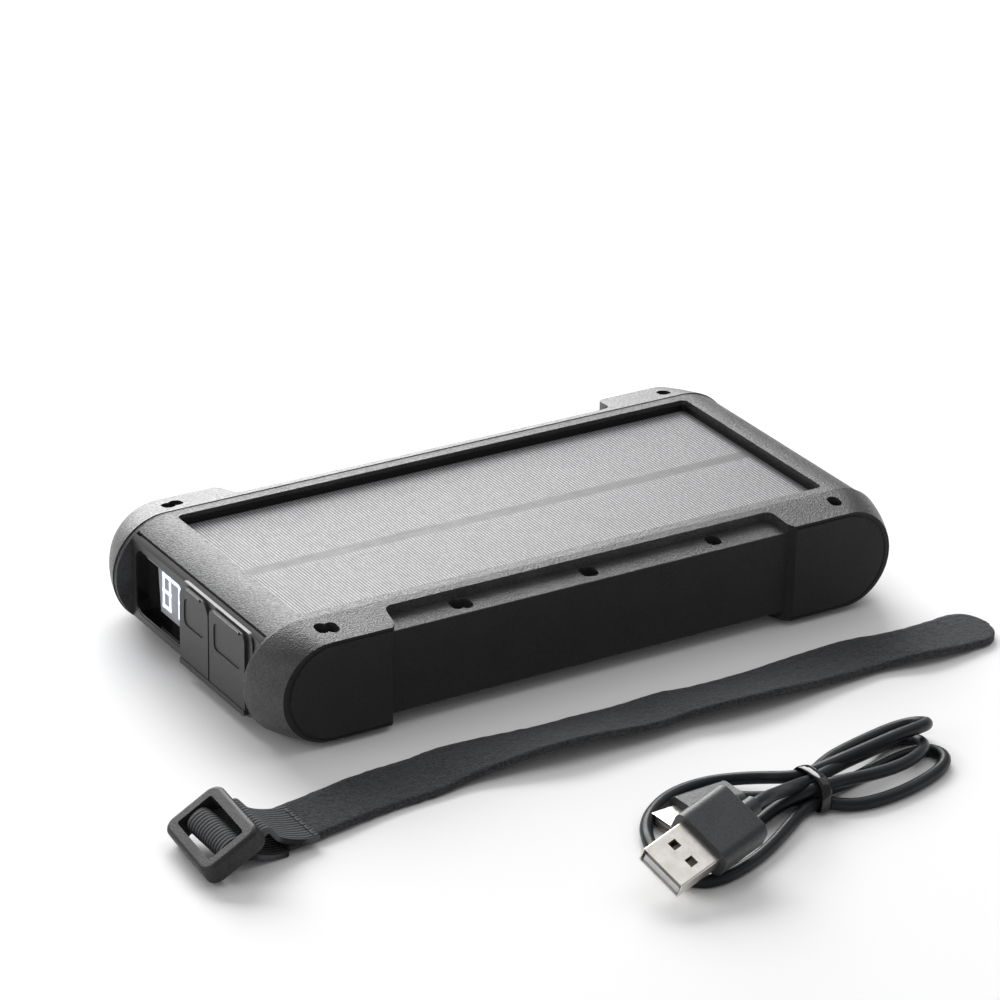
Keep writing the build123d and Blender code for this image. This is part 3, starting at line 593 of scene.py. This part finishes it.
def make_cable():
    curve = bpy.data.curves.new("cable", "CURVE")
    curve.dimensions = "3D"
    curve.bevel_depth = CABLE_D / 2 * MM
    curve.bevel_resolution = 5
    curve.use_fill_caps = True
    spline = curve.splines.new("NURBS")
    spline.points.add(len(CABLE_ROUTE) - 1)
    for point, (x, y, z) in zip(spline.points, CABLE_ROUTE):
        point.co = (x * MM, y * MM, z * MM, 1)
    spline.order_u = 3
    spline.use_endpoint_u = True
    spline.resolution_u = 8
    curve.materials.append(PAINTS["cable_pvc"])
    obj = bpy.data.objects.new("cable", curve)
    bpy.context.scene.collection.objects.link(obj)
    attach(obj, "cable")
    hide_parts("cable_bundle", "usb_a_lead", "usb_c_lead")
    return obj


def cable_length():
    """Length of the quadratic spline through the route, in metres."""
    total, before = 0.0, None
    points = [Vector(p) for p in CABLE_ROUTE]
    for i in range(1, len(points) - 1):
        a, b, c = points[i - 1], points[i], points[i + 1]
        start = a if i == 1 else (a + b) / 2
        end = c if i == len(points) - 2 else (b + c) / 2
        for k in range(21):
            t = k / 20
            p = start * (1 - t) ** 2 + 2 * b * t * (1 - t) + end * t ** 2
            if before is not None:
                total += (p - before).length
            before = p
    return total * MM


cable = make_cable()
print("cable length", round(cable_length(), 4))


def make_tie():
    """A flat glossy band pulled tight round the strands."""
    ring = [(-124.7, 0.75), (-125.6, 2.2), (-124.9, 5.4), (-122.8, 7.3), (-119.2, 7.5), (-115.6, 7.3),
            (-113.6, 5.8), (-113.6, 2.0), (-114.8, 0.55), (-119.5, 0.35)]
    loop = [Vector((0, y, z)) for y, z in ring]
    closed = loop[-2:] + loop + loop[:2]
    path = smooth_path(closed, 6)[12:-12]
    middle = Vector((0, -119.5, 3.9))
    rows = []
    for p in path:
        out = (p - middle).normalized()
        lean = (p.z - 3.9) * 0.16
        section = []
        for k in range(12):
            angle = 2 * pi * k / 12
            dx, dr = 1.5 * cos(angle), 0.42 * sin(angle)
            dx = max(-1.35, min(1.35, dx))
            section.append(Vector((9.0 + lean + dx, p.y + out.y * dr, p.z + out.z * dr)) * MM)
        rows.append(section)
    vertices = [v for row in rows for v in row]
    count = len(rows)
    faces = []
    for i in range(count):
        for k in range(12):
            a, b = i * 12 + k, ((i + 1) % count) * 12 + k
            c, d = ((i + 1) % count) * 12 + (k + 1) % 12, i * 12 + (k + 1) % 12
            faces.append((a, b, c, d))
    obj = mesh_object("wire_tie", vertices, faces, "tie_plastic", "cable")
    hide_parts("cable_tie")
    return obj


tie = make_tie()
cable_length()


# ------------------------------------------------------------------------------ floor and light
def make_floor():
    paint = Paint("floor_white", (0.92, 0.92, 0.92), 0.9, specular=0.0)
    paint.tint(paint.noise(120, 2), (0.91, 0.91, 0.91), (0.93, 0.93, 0.93))
    mesh = bpy.data.meshes.new("floor")
    size = 12.0
    corners = [(-size, -size, 0), (size, -size, 0), (size, size, 0), (-size, size, 0)]
    mesh.from_pydata(corners, [], [(0, 1, 2, 3)])
    floor = bpy.data.objects.new("floor", mesh)
    mesh.materials.append(paint.material)
    bpy.context.scene.collection.objects.link(floor)


def area_light(name, place, aim, width, height, power, colour=(1, 1, 1)):
    data = bpy.data.lights.new(name, "AREA")
    data.shape = "RECTANGLE"
    data.size = width
    data.size_y = height
    data.energy = power
    data.color = colour
    light = bpy.data.objects.new(name, data)
    light.location = place
    light.rotation_mode = "QUATERNION"
    light.rotation_quaternion = (Vector(aim) - Vector(place)).to_track_quat("-Z", "Y")
    bpy.context.scene.collection.objects.link(light)


def make_world(strength):
    world = bpy.data.worlds.new("studio")
    world.use_nodes = True
    world.node_tree.nodes["Background"].inputs["Color"].default_value = (1, 1, 1, 1)
    world.node_tree.nodes["Background"].inputs["Strength"].default_value = strength
    bpy.context.scene.world = world


make_floor()
make_world(0.36)
# The lights behind the charger reach farther to its left than to its right, so its right end is darker.
area_light("back_softbox", (0.150, 1.289, 0.95), (-0.467, 0.288, 0.02), 1.5, 0.8, 30)
area_light("horizon_softbox", (0.217, 1.139, 0.27), (-0.33, 0.251, 0.27), 0.92, 0.46, 8)
area_light("right_softbox", (0.60, 0.0, 1.15), (0, -0.05, 0), 1.2, 1.2, 3.6)
area_light("left_fill", (-1.2, 0.1, 0.5), (-0.08, 0, 0.01), 0.8, 0.8, 3)

scene = bpy.context.scene
scene.view_settings.view_transform = "Standard"
